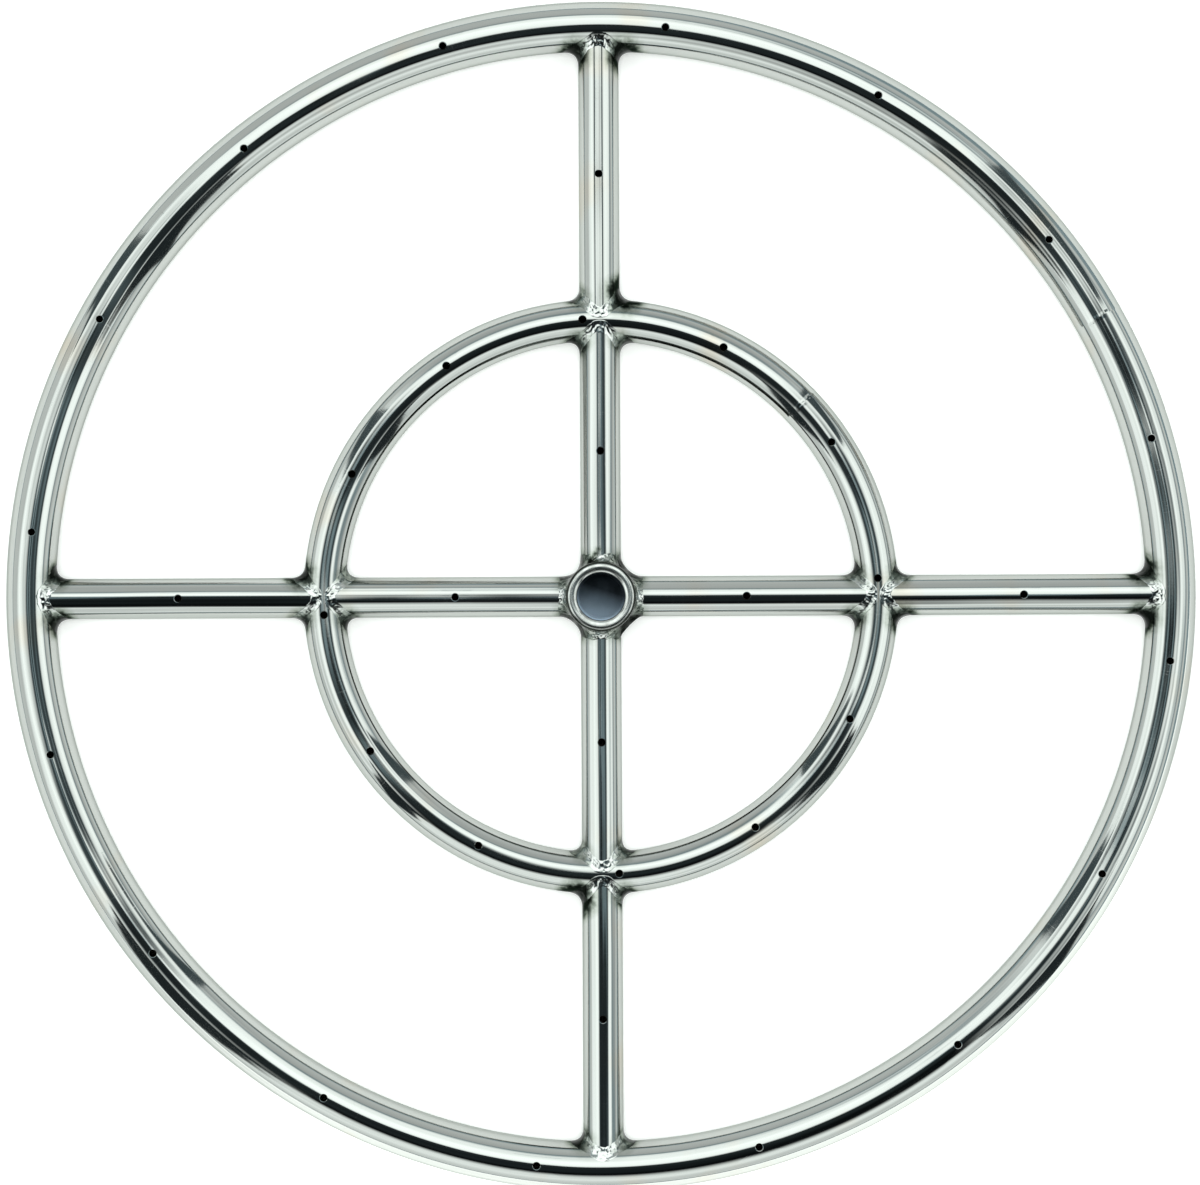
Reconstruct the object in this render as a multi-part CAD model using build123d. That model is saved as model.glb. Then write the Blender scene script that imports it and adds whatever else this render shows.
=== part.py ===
from build123d import *
from math import cos, degrees, hypot, radians, sin, sqrt
import os

# Double-ring gas burner: two rings of stainless tube on a cross of spokes, fed through a threaded hub.
# Sizes are in millimetres. The outer ring stands on Z = 0 and Z runs up through the hub's inlet.
# X runs out along the right spokes and Y along the rear spokes.

# Tubes
outer_ring_diameter = 457.2  # over the tube, 18 in
inner_ring_diameter = 228.6  # over the tube, 9 in
outer_tube_diameter = 19.05  # 3/4 in tube
spoke_tube_diameter = 15.5  # 5/8 in class tube
saddle_ear_gap = 2.0  # how far a spoke's saddle ends short of the inner ring's crown
tube_wall = 1.2
feed_hole_diameter = 10.0  # lets gas from the hub into the spokes and from the spokes into the rings

# Flame ports
port_diameter = 2.8
outer_port_count = 16
outer_port_offset = -6.74  # degrees from the rear spoke
inner_port_count = 12
inner_port_offset = 3.53  # degrees from the rear spoke

# Hub
inlet_bore_diameter = 18.3  # over the crests of a 1/2 in pipe thread
hub_wall = 4.2  # round the inlet bore
hub_rim_height = 28.0  # of the inlet's rim over the standing plane
inlet_chamfer = 1.3
rim_chamfer = 1.2
chamber_diameter = 17.0  # plain bore under the thread, where the feed holes are
feed_hole_land = 0.5  # wall left between the feed holes and what lies above and below them
plug_thickness = 2.2
plug_weld_leg = 1.3

# Welds
weld_leg_side = 4.4  # beside a spoke
weld_leg_crown = 2.6  # over and under a spoke
weld_rise = 0.6  # height of the bead over and under a spoke
weld_crown_gap = 0.8  # between the welds from both sides of a ring, over its crown
weld_hollow = 0.6  # share of a flat fillet's throat that is left in a hollow one
seam_weld_width = 3.0  # between the ends of a rolled ring
seam_weld_rise = 0.3  # over the tube
seam_weld_dressing = 0.1  # how far above the standing plane a seam is ground flat
outer_seam_angle = 29.0  # degrees from the right spoke
inner_seam_angle = 43.5  # degrees from the right spoke

# Sizes that follow
outer_tube_radius = outer_tube_diameter / 2
spoke_radius = spoke_tube_diameter / 2
inner_tube_radius = hypot(spoke_radius, saddle_ear_gap)
outer_ring_radius = outer_ring_diameter / 2 - outer_tube_radius
inner_ring_radius = inner_ring_diameter / 2 - inner_tube_radius
inlet_bore_radius = inlet_bore_diameter / 2
hub_radius = inlet_bore_radius + hub_wall
chamber_radius = chamber_diameter / 2
feed_hole_radius = feed_hole_diameter / 2
axis_height = outer_tube_radius  # every tube's axis lies in this plane
thread_foot = axis_height + feed_hole_radius + feed_hole_land
plug_top = axis_height - feed_hole_radius - feed_hole_land
plug_bottom = plug_top - plug_thickness
hub_bottom = plug_bottom - plug_weld_leg
hub_length = hub_rim_height - hub_bottom
hub_middle = hub_bottom + hub_length / 2

spoke_turns = {"right": 0, "rear": 90, "left": 180, "front": 270}


def torus(ring_radius, tube_radius):
    return Pos(0, 0, axis_height) * Torus(ring_radius, tube_radius)


def radial_rod(radius, start, end):
    return Pos((start + end) / 2, 0, axis_height) * Rot(0, 90, 0) * Cylinder(radius, end - start)


def port_drill(distance, turn):
    # Goes through the upper wall only. The quarter turn puts the hole's seam edge along the tube.
    drill = Rot(0, 0, 90) * Cylinder(port_diameter / 2, outer_tube_diameter)
    return Rot(0, 0, turn) * Pos(distance, 0, axis_height + outer_tube_radius) * drill


def tube_ring(ring_radius, tube_radius, port_count, port_offset, seam_angle, feed_end):
    # A tube rolled nearly all the way round, with its ends cut square for the seam weld
    section = Circle(tube_radius) - Circle(tube_radius - tube_wall)
    section = Plane.XZ * Pos(ring_radius, axis_height) * Rot(0, 0, -90) * section
    open_angle = degrees(seam_weld_width / ring_radius) / 2
    ring = Rot(0, 0, seam_angle + open_angle / 2) * revolve(section, Axis.Z, 360 - open_angle)
    reach = 3 * tube_radius
    ring -= Rot(0, 0, seam_angle) * Pos(ring_radius, 0, axis_height) * Box(reach, seam_weld_width, reach)

    # feed_end is how far out the feed holes go: to the middle of the tube, or right through it.
    for turn in spoke_turns.values():
        ring -= Rot(0, 0, turn) * radial_rod(feed_hole_radius, ring_radius - 2 * tube_radius, feed_end)
    for number in range(port_count):
        ring -= port_drill(ring_radius, 90 + port_offset + number * 360 / port_count)
    return ring


def ring_seam_weld(ring_radius, tube_radius, seam_angle):
    # The weld fills the gap between the ring's ends and stands a little proud of the tube.
    half_width = seam_weld_width / 2
    bore = tube_radius - tube_wall
    crown = ThreePointArc(
        (tube_radius, -half_width), (tube_radius + seam_weld_rise, 0), (tube_radius, half_width)
    )
    sides = Polyline(
        (tube_radius, half_width), (bore, half_width), (bore, -half_width), (tube_radius, -half_width)
    )
    weld = revolve(make_face(crown + sides), Axis.Y)
    weld = Rot(0, 0, seam_angle) * Pos(ring_radius, 0, axis_height) * weld
    # The underside is ground flat, so that the ring stands on its tube.
    reach = 2 * outer_ring_diameter
    return weld - Pos(0, 0, seam_weld_dressing - axis_height) * Box(reach, reach, 2 * axis_height)


def spoke(start, end, hosts):
    # A tube saddle-cut to what it meets at each end
    tube = radial_rod(spoke_radius, start, end) - radial_rod(spoke_radius - tube_wall, start, end)
    for host in hosts:
        tube -= host
    return tube


def weld_section(host_distance, on_host, host_side, turn):
    # The weld as cut by the plane that holds the spoke's axis and leans over by turn. In that plane, along is
    # the distance from Z and out the distance from the spoke's axis. host_side is 1 where the host is at the
    # spoke's far end and -1 where it is at its near end.
    lean = radians(turn)
    leg = weld_leg_crown + (weld_leg_side - weld_leg_crown) * sin(lean) ** 2
    root_along = host_distance(spoke_radius * sin(lean), spoke_radius * cos(lean))

    # The toe on the host lies one leg from the root, or where the host ends.
    toe_along = root_along
    toe_out = spoke_radius
    step = leg
    for halving in range(30):
        step = step / 2
        out = toe_out + step
        if on_host(out * sin(lean), out * cos(lean)):
            along = host_distance(out * sin(lean), out * cos(lean))
            if hypot(along - root_along, out - spoke_radius) < leg:
                toe_along = along
                toe_out = out

    spoke_toe_along = root_along - host_side * leg
    crest_along = root_along + weld_hollow * ((toe_along + spoke_toe_along) / 2 - root_along)
    crest_out = spoke_radius + weld_hollow * (toe_out - spoke_radius) / 2 + weld_rise * cos(lean) ** 2
    root_depth = tube_wall / 2

    def corner(along, out):
        return (along, out * sin(lean), axis_height + out * cos(lean))

    host_toe = corner(toe_along, toe_out)
    crest = corner(crest_along, crest_out)
    spoke_toe = corner(spoke_toe_along, spoke_radius)
    heel = corner(root_along + host_side * root_depth, spoke_radius - root_depth)
    return make_face(ThreePointArc(host_toe, crest, spoke_toe) + Polyline(spoke_toe, heel, host_toe))


def saddle_weld(host_distance, on_host, host_side, host):
    # Sections every ten degrees from over the spoke to under it give one half.
    sections = []
    for turn in range(0, 181, 10):
        sections.append(weld_section(host_distance, on_host, host_side, turn))
    half = loft(sections, ruled=True)
    weld = half + mirror(half, Plane.XZ)
    return weld - host - radial_rod(spoke_radius, 0, outer_ring_radius)


def ring_weld(ring_radius, tube_radius, host_side):
    def host_distance(side_shift, height):
        reach = ring_radius - host_side * sqrt(max(tube_radius**2 - height**2, 0))
        return sqrt(reach**2 - side_shift**2)

    def on_host(side_shift, height):
        return hypot(height, weld_crown_gap / 2) < tube_radius

    return saddle_weld(host_distance, on_host, host_side, torus(ring_radius, tube_radius))


def hub_weld():
    def host_distance(side_shift, height):
        return sqrt(hub_radius**2 - side_shift**2)

    def on_host(side_shift, height):
        return side_shift < hub_radius * sin(radians(45)) and hub_bottom < axis_height + height

    weld = saddle_weld(host_distance, on_host, -1, hub_body)
    # Neighbouring welds meet on the diagonals, and none hangs below the hub.
    quarter = Pos(hub_radius, hub_radius, hub_middle) * Box(2 * hub_radius, 2 * hub_radius, hub_length)
    return weld & Rot(0, 0, -45) * quarter


def turned(outline):
    return revolve(make_face(Plane.XZ * outline), Axis.Z)


hub_body = Pos(0, 0, hub_middle) * Cylinder(hub_radius, hub_length)
hub = turned(
    Polyline(
        (chamber_radius, hub_bottom),
        (hub_radius, hub_bottom),
        (hub_radius, hub_rim_height - rim_chamfer),
        (hub_radius - rim_chamfer, hub_rim_height),
        (inlet_bore_radius + inlet_chamfer, hub_rim_height),
        (inlet_bore_radius, hub_rim_height - inlet_chamfer),
        (inlet_bore_radius, thread_foot),
        (chamber_radius, thread_foot),
        close=True,
    )
)
for turn in spoke_turns.values():
    hub -= Rot(0, 0, turn) * radial_rod(feed_hole_radius, 0, 2 * hub_radius)

plug = Pos(0, 0, plug_bottom + plug_thickness / 2) * Cylinder(chamber_radius, plug_thickness)
plug_weld = turned(
    Polyline(
        (chamber_radius, plug_bottom),
        (chamber_radius - plug_weld_leg, plug_bottom),
        (chamber_radius, hub_bottom),
        close=True,
    )
)

outer_torus = torus(outer_ring_radius, outer_tube_radius)
outer_ring = tube_ring(
    outer_ring_radius,
    outer_tube_radius,
    outer_port_count,
    outer_port_offset,
    outer_seam_angle,
    outer_ring_radius,
)

inner_torus = torus(inner_ring_radius, inner_tube_radius)
inner_ring = tube_ring(
    inner_ring_radius,
    inner_tube_radius,
    inner_port_count,
    inner_port_offset,
    inner_seam_angle,
    inner_ring_radius + 2 * inner_tube_radius,
)

# Each spoke has one port, halfway along what shows of it.
inner_spoke = spoke(0, inner_ring_radius, [hub_body, inner_torus])
inner_spoke -= port_drill((hub_radius + inner_ring_radius - inner_tube_radius) / 2, 0)
outer_spoke = spoke(inner_ring_radius, outer_ring_radius, [inner_torus, outer_torus])
outer_spoke -= port_drill(
    (inner_ring_radius + inner_tube_radius + outer_ring_radius - outer_tube_radius) / 2, 0
)

# What repeats round the hub, as made at the right spoke
repeated = {
    "inner_spoke": inner_spoke,
    "outer_spoke": outer_spoke,
    "hub_weld": hub_weld(),
    "inner_ring_inside_weld": ring_weld(inner_ring_radius, inner_tube_radius, 1),
    "inner_ring_outside_weld": ring_weld(inner_ring_radius, inner_tube_radius, -1),
    "outer_ring_weld": ring_weld(outer_ring_radius, outer_tube_radius, 1),
}

parts = {
    "outer_ring": outer_ring,
    "outer_ring_seam_weld": ring_seam_weld(outer_ring_radius, outer_tube_radius, outer_seam_angle),
    "inner_ring": inner_ring,
    "inner_ring_seam_weld": ring_seam_weld(inner_ring_radius, inner_tube_radius, inner_seam_angle),
    "hub": hub,
    "hub_end_plug": plug,
    "hub_end_plug_weld": plug_weld,
}
for name, shape in repeated.items():
    for side, turn in spoke_turns.items():
        parts[f"{name}_{side}"] = Rot(0, 0, turn) * shape

os.makedirs("parts", exist_ok=True)
for name, shape in parts.items():
    export_step(shape, f"parts/{name}.step")
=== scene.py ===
from math import atan2, cos, exp, floor, hypot, pi, radians, sin, sqrt

import bmesh
import bpy
import numpy as np
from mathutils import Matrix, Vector, geometry, kdtree, noise


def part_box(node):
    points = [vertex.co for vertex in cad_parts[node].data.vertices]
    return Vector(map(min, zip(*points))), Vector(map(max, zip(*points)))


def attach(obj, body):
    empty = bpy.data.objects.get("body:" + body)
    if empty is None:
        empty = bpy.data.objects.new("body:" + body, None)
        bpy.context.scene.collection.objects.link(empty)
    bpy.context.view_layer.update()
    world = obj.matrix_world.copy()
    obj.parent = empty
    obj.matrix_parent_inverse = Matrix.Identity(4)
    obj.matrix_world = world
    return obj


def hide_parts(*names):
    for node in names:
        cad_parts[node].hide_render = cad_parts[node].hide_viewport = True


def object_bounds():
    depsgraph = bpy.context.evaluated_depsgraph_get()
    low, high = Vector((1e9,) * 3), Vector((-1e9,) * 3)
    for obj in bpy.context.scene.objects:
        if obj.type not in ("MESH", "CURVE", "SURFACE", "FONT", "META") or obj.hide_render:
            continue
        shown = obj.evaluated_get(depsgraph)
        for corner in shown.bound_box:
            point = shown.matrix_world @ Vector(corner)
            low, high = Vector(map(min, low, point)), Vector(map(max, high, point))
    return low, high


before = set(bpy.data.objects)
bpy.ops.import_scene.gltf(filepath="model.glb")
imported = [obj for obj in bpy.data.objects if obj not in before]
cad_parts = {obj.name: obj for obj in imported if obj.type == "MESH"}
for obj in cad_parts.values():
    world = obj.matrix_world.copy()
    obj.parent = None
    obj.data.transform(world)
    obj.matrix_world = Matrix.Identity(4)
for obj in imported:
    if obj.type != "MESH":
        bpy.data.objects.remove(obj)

cadLow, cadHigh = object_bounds()
mm = 0.001
fullTurn = 2 * pi

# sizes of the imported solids, in metres
outerLow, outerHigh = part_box("outer_ring")
innerLow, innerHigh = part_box("inner_ring")
spokeLow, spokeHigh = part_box("outer_spoke_right")
hubLow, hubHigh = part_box("hub")
plugLow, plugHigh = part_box("hub_end_plug")
axisHeight = (outerLow.z + outerHigh.z) / 2
outerTubeRadius = (outerHigh.z - outerLow.z) / 2
outerRingRadius = outerHigh.x - outerTubeRadius
innerTubeRadius = (innerHigh.z - innerLow.z) / 2
innerRingRadius = innerHigh.x - innerTubeRadius
spokeRadius = (spokeHigh.z - spokeLow.z) / 2
hubRadius = hubHigh.x
chamberRadius = plugHigh.x
spokeTurns = {"right": 0, "rear": 90, "left": 180, "front": 270}
print("frame read: rings", round(2000 * outerHigh.x), "and", round(2000 * innerHigh.x), "mm over the tube")


def hexLinear(code):
    levels = [int(code[i:i + 2], 16) / 255 for i in (1, 3, 5)]
    return [v / 12.92 if v <= 0.04045 else ((v + 0.055) / 1.055) ** 2.4 for v in levels] + [1.0]


# materials

def newMaterial(name):
    material = bpy.data.materials.new(name)
    material.use_nodes = True
    material.node_tree.nodes.clear()
    return material


def addNode(holder, kind, *values, **entries):
    # values go to the first sockets in their order; entries in small letters are the node's settings, and
    # the others its sockets, by name with _ for a space or by number as at6; a socket takes a value, a hex
    # colour, another socket, or a node for its first open output
    tree = holder.node_tree
    node = tree.nodes.new("ShaderNode" + kind)
    sockets = dict(enumerate(values))
    for key, value in entries.items():
        if key[:2] == "at" and key[2:].isdigit():
            sockets[int(key[2:])] = value
        elif key[0].islower():
            setattr(node, key, value)
        else:
            sockets[key.replace("_", " ")] = value
    for key, value in sockets.items():
        if isinstance(value, bpy.types.Node):
            value = next(output for output in value.outputs if output.enabled)
        if isinstance(value, bpy.types.NodeSocket):
            tree.links.new(value, node.inputs[key])
        else:
            node.inputs[key].default_value = hexLinear(value) if isinstance(value, str) else value
    return node


def setRamp(node, stops):
    ramp = node.color_ramp
    while len(ramp.elements) < len(stops):
        ramp.elements.new(0.5)
    for element, (place, colour) in zip(ramp.elements, stops):
        element.position = place
        element.color = hexLinear(colour)


def finishMetal(material, colour, rough, normal, **extra):
    shader = addNode(material, "BsdfPrincipled", Base_Color=colour, Metallic=1.0, Roughness=rough,
                     Normal=normal, **extra)
    addNode(material, "OutputMaterial", Surface=shader)
    return material


# drawn 304 stainless tube, buffed to a mirror: sharp reflections that wander a little where the tube was
# bent, facets of the buffing wheel and faint draw lines along it, hair scratches, polish haze, faint straw
# patches, and dark heat scale in the corners beside the welds, deepened there as painted shade
tubeFinish = {
    "steel": "#b4b6b3", "straw": "#b7b1a7", "edge": "#c0c4c1",
    "tint": [(0.0, "#ffffff"), (0.3, "#dfe2dd"), (0.5, "#aeb4ac"), (0.7, "#6c736b"), (0.85, "#353c35"),
             (1.0, "#1a201b")],  # from clean to scaled
    "roughness": 0.04, "hazeRoughness": 0.085,
    "scratchRough": 0.05, "lineRough": 0.05, "tintRough": 0.14,  # what each adds
    "facet": 2.4 * mm, "facetHeight": 0.32 * mm, "facetLength": 420 * mm,
    "drawLine": 0.9 * mm,  # real ones are near 0.1 mm, too fine to show
    "drawLength": 60 * mm, "drawHeight": 0.012 * mm,
    "scratchWidth": 0.7 * mm,  # real ones are near 0.05 mm, too fine to show
    "scratchLength": 14 * mm, "scratchDepth": 0.002 * mm,
    "hazeSize": 22 * mm, "strawSize": 26 * mm,
    "scratchShare": (0.66, 0.74), "hazeShare": (0.45, 0.75), "strawShare": (0.6, 0.8),  # noise, none to full
    "waveSize": 95 * mm, "waveHeight": 3.6 * mm,
    "wander": 2.5 * mm, "wanderFrom": (0.25, 0.75), "wanderTo": (0.55, 1.25),
}


def makeTubeSteel():
    look = tubeFinish
    material = newMaterial("polished_304_tube")
    coord = addNode(material, "Attribute", attribute_name="tubeCoord").outputs["Vector"]
    heatAndShade = addNode(material, "Attribute", attribute_name="weldHeatAndShade").outputs["Fac"]

    # draw lines and facets run along the tube, scratches round it
    streaks = []
    for along, side, detail in ((look["drawLength"], look["drawLine"], 1.0),
                                (look["scratchWidth"], look["scratchLength"], 2.0),
                                (look["facetLength"], look["facet"], 0.0)):
        stretched = addNode(material, "VectorMath", coord, (1 / along, 1 / side, 1 / side),
                            operation="MULTIPLY")
        streaks.append(addNode(material, "TexNoise", Vector=stretched, Scale=1.0, Detail=detail))
    lines, scratches, facets = streaks
    fewScratches = addNode(material, "MapRange", scratches, *look["scratchShare"])
    haze = addNode(material, "TexNoise", Vector=coord, Scale=1 / look["hazeSize"], Detail=4.0, Roughness=0.6)
    hazePart = addNode(material, "MapRange", haze, *look["hazeShare"])
    waves = addNode(material, "TexNoise", Vector=coord, Scale=1 / look["waveSize"], Detail=1.0)

    # heat tint and scale beside the welds, deepened in the corners as painted shade; the wander keeps its
    # edge from running parallel to them
    wander = addNode(material, "TexNoise", Vector=coord, Scale=1 / look["wander"], Detail=3.0)
    wanderStep = addNode(material, "MapRange", wander, *look["wanderFrom"], *look["wanderTo"])
    heatAndShadeMask = addNode(material, "Math", heatAndShade, wanderStep, operation="MULTIPLY", use_clamp=True)
    tint = addNode(material, "ValToRGB", Fac=heatAndShadeMask)
    setRamp(tint, look["tint"])

    straw = addNode(material, "TexNoise", Vector=coord, Scale=1 / look["strawSize"], Detail=2.0)
    strawPart = addNode(material, "MapRange", straw, *look["strawShare"])
    body = addNode(material, "Mix", strawPart, data_type="RGBA", at6=look["steel"], at7=look["straw"])
    colour = addNode(material, "Mix", 1.0, data_type="RGBA", blend_type="MULTIPLY", at6=tint, at7=body)
    rough = addNode(material, "MapRange", hazePart, at3=look["roughness"], at4=look["hazeRoughness"])
    for part, added in ((fewScratches, look["scratchRough"]), (lines, look["lineRough"]),
                        (heatAndShadeMask, look["tintRough"])):
        rough = addNode(material, "Math", part, added, rough, operation="MULTIPLY_ADD")

    normal = addNode(material, "Bump", Height=waves, Distance=look["waveHeight"], Strength=1.0)
    for part, height, strength, cutIn in ((facets, look["facetHeight"], 1.0, False),
                                          (lines, look["drawHeight"], 0.6, False),
                                          (fewScratches, look["scratchDepth"], 0.5, True)):
        normal = addNode(material, "Bump", invert=cutIn, Height=part, Distance=height, Strength=strength,
                         Normal=normal)
    return finishMetal(material, colour, rough, normal, Specular_Tint=look["edge"])


# steel that was never polished: patches from one colour to the other, with a gritty skin
dullSteels = {
    # tube bore as it left the mill: dull grey darkened towards brown as painted shade, so the ports read dark
    "mill_finish_bore": {
        "from": "#77736c", "to": "#3a342e", "patch": 6 * mm, "detail": 5.0, "reach": (0.0, 1.0),
        "grit": 0.6 * mm, "gritStrength": 0.5, "roughness": 0.55, "roughBy": "patch", "roughVary": 0.25,
    },
    # cut thread and drilled chamber, coloured near black as painted shade in the bore, so the bore reads
    # black from above
    "cut_thread_304_painted_shade": {
        "from": "#5b5d60", "to": "#1c1d20", "patch": 3 * mm, "detail": 4.0, "reach": (0.3, 0.6),
        "grit": 0.3 * mm, "gritStrength": 0.5, "roughness": 0.34, "roughBy": "grit", "roughVary": 0.2,
    },
    # plug disc as welded in: painted shade and reflection, black at the rear of its face and clearing to
    # blue-grey steel at the front, dim at the foot of the bore
    "plug_painted_shade_and_reflection": {
        "from": "#0d0e10", "to": "#a9bccf", "patch": 5 * mm, "detail": 4.0, "reach": (0.0, 5.0),
        "grit": 0.4 * mm, "gritStrength": 0.4, "roughness": 0.36, "roughBy": "grit", "roughVary": 0.2,
        "rearWay": (0.34, 0.94, 0), "clearFrom": 0.35 * chamberRadius, "clearTo": -chamberRadius,
    },
}
gritHeight = 0.03 * mm


def makeDullSteel(name):
    look = dullSteels[name]
    material = newMaterial(name)
    coord = addNode(material, "TexCoord").outputs["Object"]
    patch = addNode(material, "TexNoise", Vector=coord, Scale=1 / look["patch"], Detail=look["detail"])
    grit = addNode(material, "TexNoise", Vector=coord, Scale=1 / look["grit"], Detail=2.0)
    share = addNode(material, "MapRange", patch, *look["reach"])
    if "rearWay" in look:
        behind = addNode(material, "VectorMath", coord, look["rearWay"], operation="DOT_PRODUCT")
        front = addNode(material, "MapRange", behind, look["clearFrom"], look["clearTo"])
        share = addNode(material, "Math", share, front, operation="ADD", use_clamp=True)
    colour = addNode(material, "Mix", share, data_type="RGBA", at6=look["from"], at7=look["to"])
    roughBy = patch if look["roughBy"] == "patch" else grit
    rough = addNode(material, "Math", roughBy, look["roughVary"], look["roughness"], operation="MULTIPLY_ADD")
    skin = addNode(material, "Bump", Height=grit, Distance=gritHeight, Strength=look["gritStrength"])
    return finishMetal(material, colour, rough, skin)


# 304 bar turned on a lathe: fine rings round the axis that smear the highlights across them, a bright rim,
# and grey-green outside that is partly weld scorch and partly painted shade, darkest where the spokes were
# welded on and along the edge of the rim
turnedFinish = {
    "steel": "#c2c4c1", "dull": "#9a9b97", "scorchedShade": "#343833",
    "toolMark": 0.35 * mm, "toolDepth": 0.02 * mm, "toolStrength": 0.6,
    "stain": 4 * mm, "stainShare": (0.4, 0.75),
    "roughness": 0.12, "toolRough": 0.1, "stainRough": 0.12,
    "scorchShadeStart": 1.1 * mm, "scorchShadeFull": 0.7 * mm,  # in from the outside
    # the wall band that keeps less of the painted shade and scorch, down from the rim
    "wallFoot": 9.5 * mm, "wallUnder": 2.24 * mm, "wallTop": 1.4 * mm,  # the cleaner wall, down from the rim
    "wallSoft": 3 * mm, "wallLessShade": 0.6,
}


def makeTurnedSteel():
    look = turnedFinish
    material = newMaterial("turned_304_bar")
    coord = addNode(material, "TexCoord").outputs["Object"]
    x, y, z = addNode(material, "SeparateXYZ", coord).outputs
    flat = addNode(material, "CombineXYZ", X=x, Y=y)
    reach = addNode(material, "VectorMath", flat, operation="LENGTH")
    ringCoord = addNode(material, "CombineXYZ", X=reach, Y=z)
    marks = addNode(material, "TexNoise", Vector=ringCoord, Scale=1 / look["toolMark"], Detail=2.0)
    stain = addNode(material, "TexNoise", Vector=coord, Scale=1 / look["stain"], Detail=4.0)
    stainPart = addNode(material, "MapRange", stain, *look["stainShare"])
    stained = addNode(material, "Mix", stainPart, data_type="RGBA", at6=look["steel"], at7=look["dull"])
    # painted shade with the scorch: dark along the outside of the hub and its rim edge
    edgeScorchShade = addNode(material, "MapRange", reach, hubRadius - look["scorchShadeStart"],
                         hubRadius - look["scorchShadeFull"])
    # between the welds and the rim the wall keeps less of the scorch and painted shade, with an uneven edge
    height = addNode(material, "Math", stain, look["wallSoft"], z, operation="MULTIPLY_ADD")
    foot = hubHigh.z - look["wallFoot"] + look["wallSoft"] / 2
    overFoot = addNode(material, "MapRange", height, foot, foot + look["wallSoft"])
    underRim = addNode(material, "MapRange", z, hubHigh.z - look["wallTop"], hubHigh.z - look["wallUnder"])
    wall = addNode(material, "Math", overFoot, underRim, operation="MULTIPLY")
    left = addNode(material, "Math", wall, -look["wallLessShade"], 1.0, operation="MULTIPLY_ADD")
    scorchAndShade = addNode(material, "Math", edgeScorchShade, left, operation="MULTIPLY")
    colour = addNode(material, "Mix", scorchAndShade, data_type="RGBA", at6=stained, at7=look["scorchedShade"])
    rough = look["roughness"]
    for part, added in ((marks, look["toolRough"]), (stainPart, look["stainRough"])):
        rough = addNode(material, "Math", part, added, rough, operation="MULTIPLY_ADD")
    rings = addNode(material, "Bump", Height=marks, Distance=look["toolDepth"], Strength=look["toolStrength"])
    return finishMetal(material, colour, rough, rings)


# TIG bead in stainless filler, buffed over the crowns and left as welded in the corners: broken mirror spots
# on the ripples where the wheel reached, grey to dark green-grey scale where it did not, deepened at the
# bead's sides in the corners as painted shade
weldFinish = {
    "scale": [(0.1, "#c2c4c1"), (0.42, "#8c928a"), (0.65, "#4c534c"), (0.9, "#121612")],  # bright to scaled
    "patch": 2.6 * mm, "patchFrom": (0.3, 0.7), "patchTo": (-0.18, 0.18),
    "grit": 0.45 * mm, "gritHeight": 0.02 * mm, "gritStrength": 0.5,
    "roughness": 0.1, "scaleRoughness": 0.26,
}


def makeWeldSteel():
    look = weldFinish
    material = newMaterial("tig_bead_304")
    coord = addNode(material, "TexCoord").outputs["Object"]
    # weld scale, with painted shade in the joint corners added to it
    scale = addNode(material, "Attribute", attribute_name="weldScaleAndShade").outputs["Fac"]
    patch = addNode(material, "TexNoise", Vector=coord, Scale=1 / look["patch"], Detail=4.0, Roughness=0.6)
    patchStep = addNode(material, "MapRange", patch, *look["patchFrom"], *look["patchTo"])
    scaled = addNode(material, "Math", scale, patchStep, operation="ADD", use_clamp=True)
    colour = addNode(material, "ValToRGB", Fac=scaled)
    setRamp(colour, look["scale"])
    grit = addNode(material, "TexNoise", Vector=coord, Scale=1 / look["grit"], Detail=3.0)
    rough = addNode(material, "MapRange", scaled, at3=look["roughness"], at4=look["scaleRoughness"])
    skin = addNode(material, "Bump", Height=grit, Distance=look["gritHeight"], Strength=look["gritStrength"])
    return finishMetal(material, colour, rough, skin)


tubeSteel = makeTubeSteel()
boreSteel = makeDullSteel("mill_finish_bore")
turnedSteel = makeTurnedSteel()
plugSteel = makeDullSteel("plug_painted_shade_and_reflection")
weldSteel = makeWeldSteel()
threadShadeSteel = makeDullSteel("cut_thread_304_painted_shade")
print("materials made")


# joints: where each spoke meets the hub and the rings

crownGap = 0.8 * mm  # between the welds from both sides of a ring


def ringHost(ringRadius, tubeRadius, hostSide):
    # hostSide is 1 where the ring is at the spoke's far end and -1 where it is at its near end
    def distance(side, height):
        reach = ringRadius - hostSide * sqrt(max(tubeRadius ** 2 - height ** 2, 0))
        return sqrt(reach ** 2 - side ** 2)

    def carries(side, height):
        return hypot(height, crownGap / 2) < tubeRadius

    def clear(along, side, height):
        return hypot(hypot(along, side) - ringRadius, height) - tubeRadius

    return {"distance": distance, "carries": carries, "clear": clear, "side": hostSide, "corner": 0,
            "scaleShadeEdge": 3}


def hubHost():
    corner = hubRadius * sin(pi / 4)  # halfway round to the next spoke

    def distance(side, height):
        return sqrt(max(hubRadius ** 2 - side ** 2, 0))

    def carries(side, height):
        return abs(side) < corner and hubLow.z < axisHeight + height

    def clear(along, side, height):
        return hypot(along, side) - hubRadius

    return {"distance": distance, "carries": carries, "clear": clear, "side": -1, "corner": corner,
            "scaleShadeEdge": 1.2}


hosts = {
    "hub_weld": hubHost(),
    "inner_ring_inside_weld": ringHost(innerRingRadius, innerTubeRadius, 1),
    "inner_ring_outside_weld": ringHost(innerRingRadius, innerTubeRadius, -1),
    "outer_ring_weld": ringHost(outerRingRadius, outerTubeRadius, 1),
}


def roundPoint(reach, turn, height):
    return (reach * cos(turn), reach * sin(turn), height)


def turnedPoint(point, turn):
    angle = radians(turn)
    return (point[0] * cos(angle) - point[1] * sin(angle),
            point[0] * sin(angle) + point[1] * cos(angle), point[2])


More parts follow.
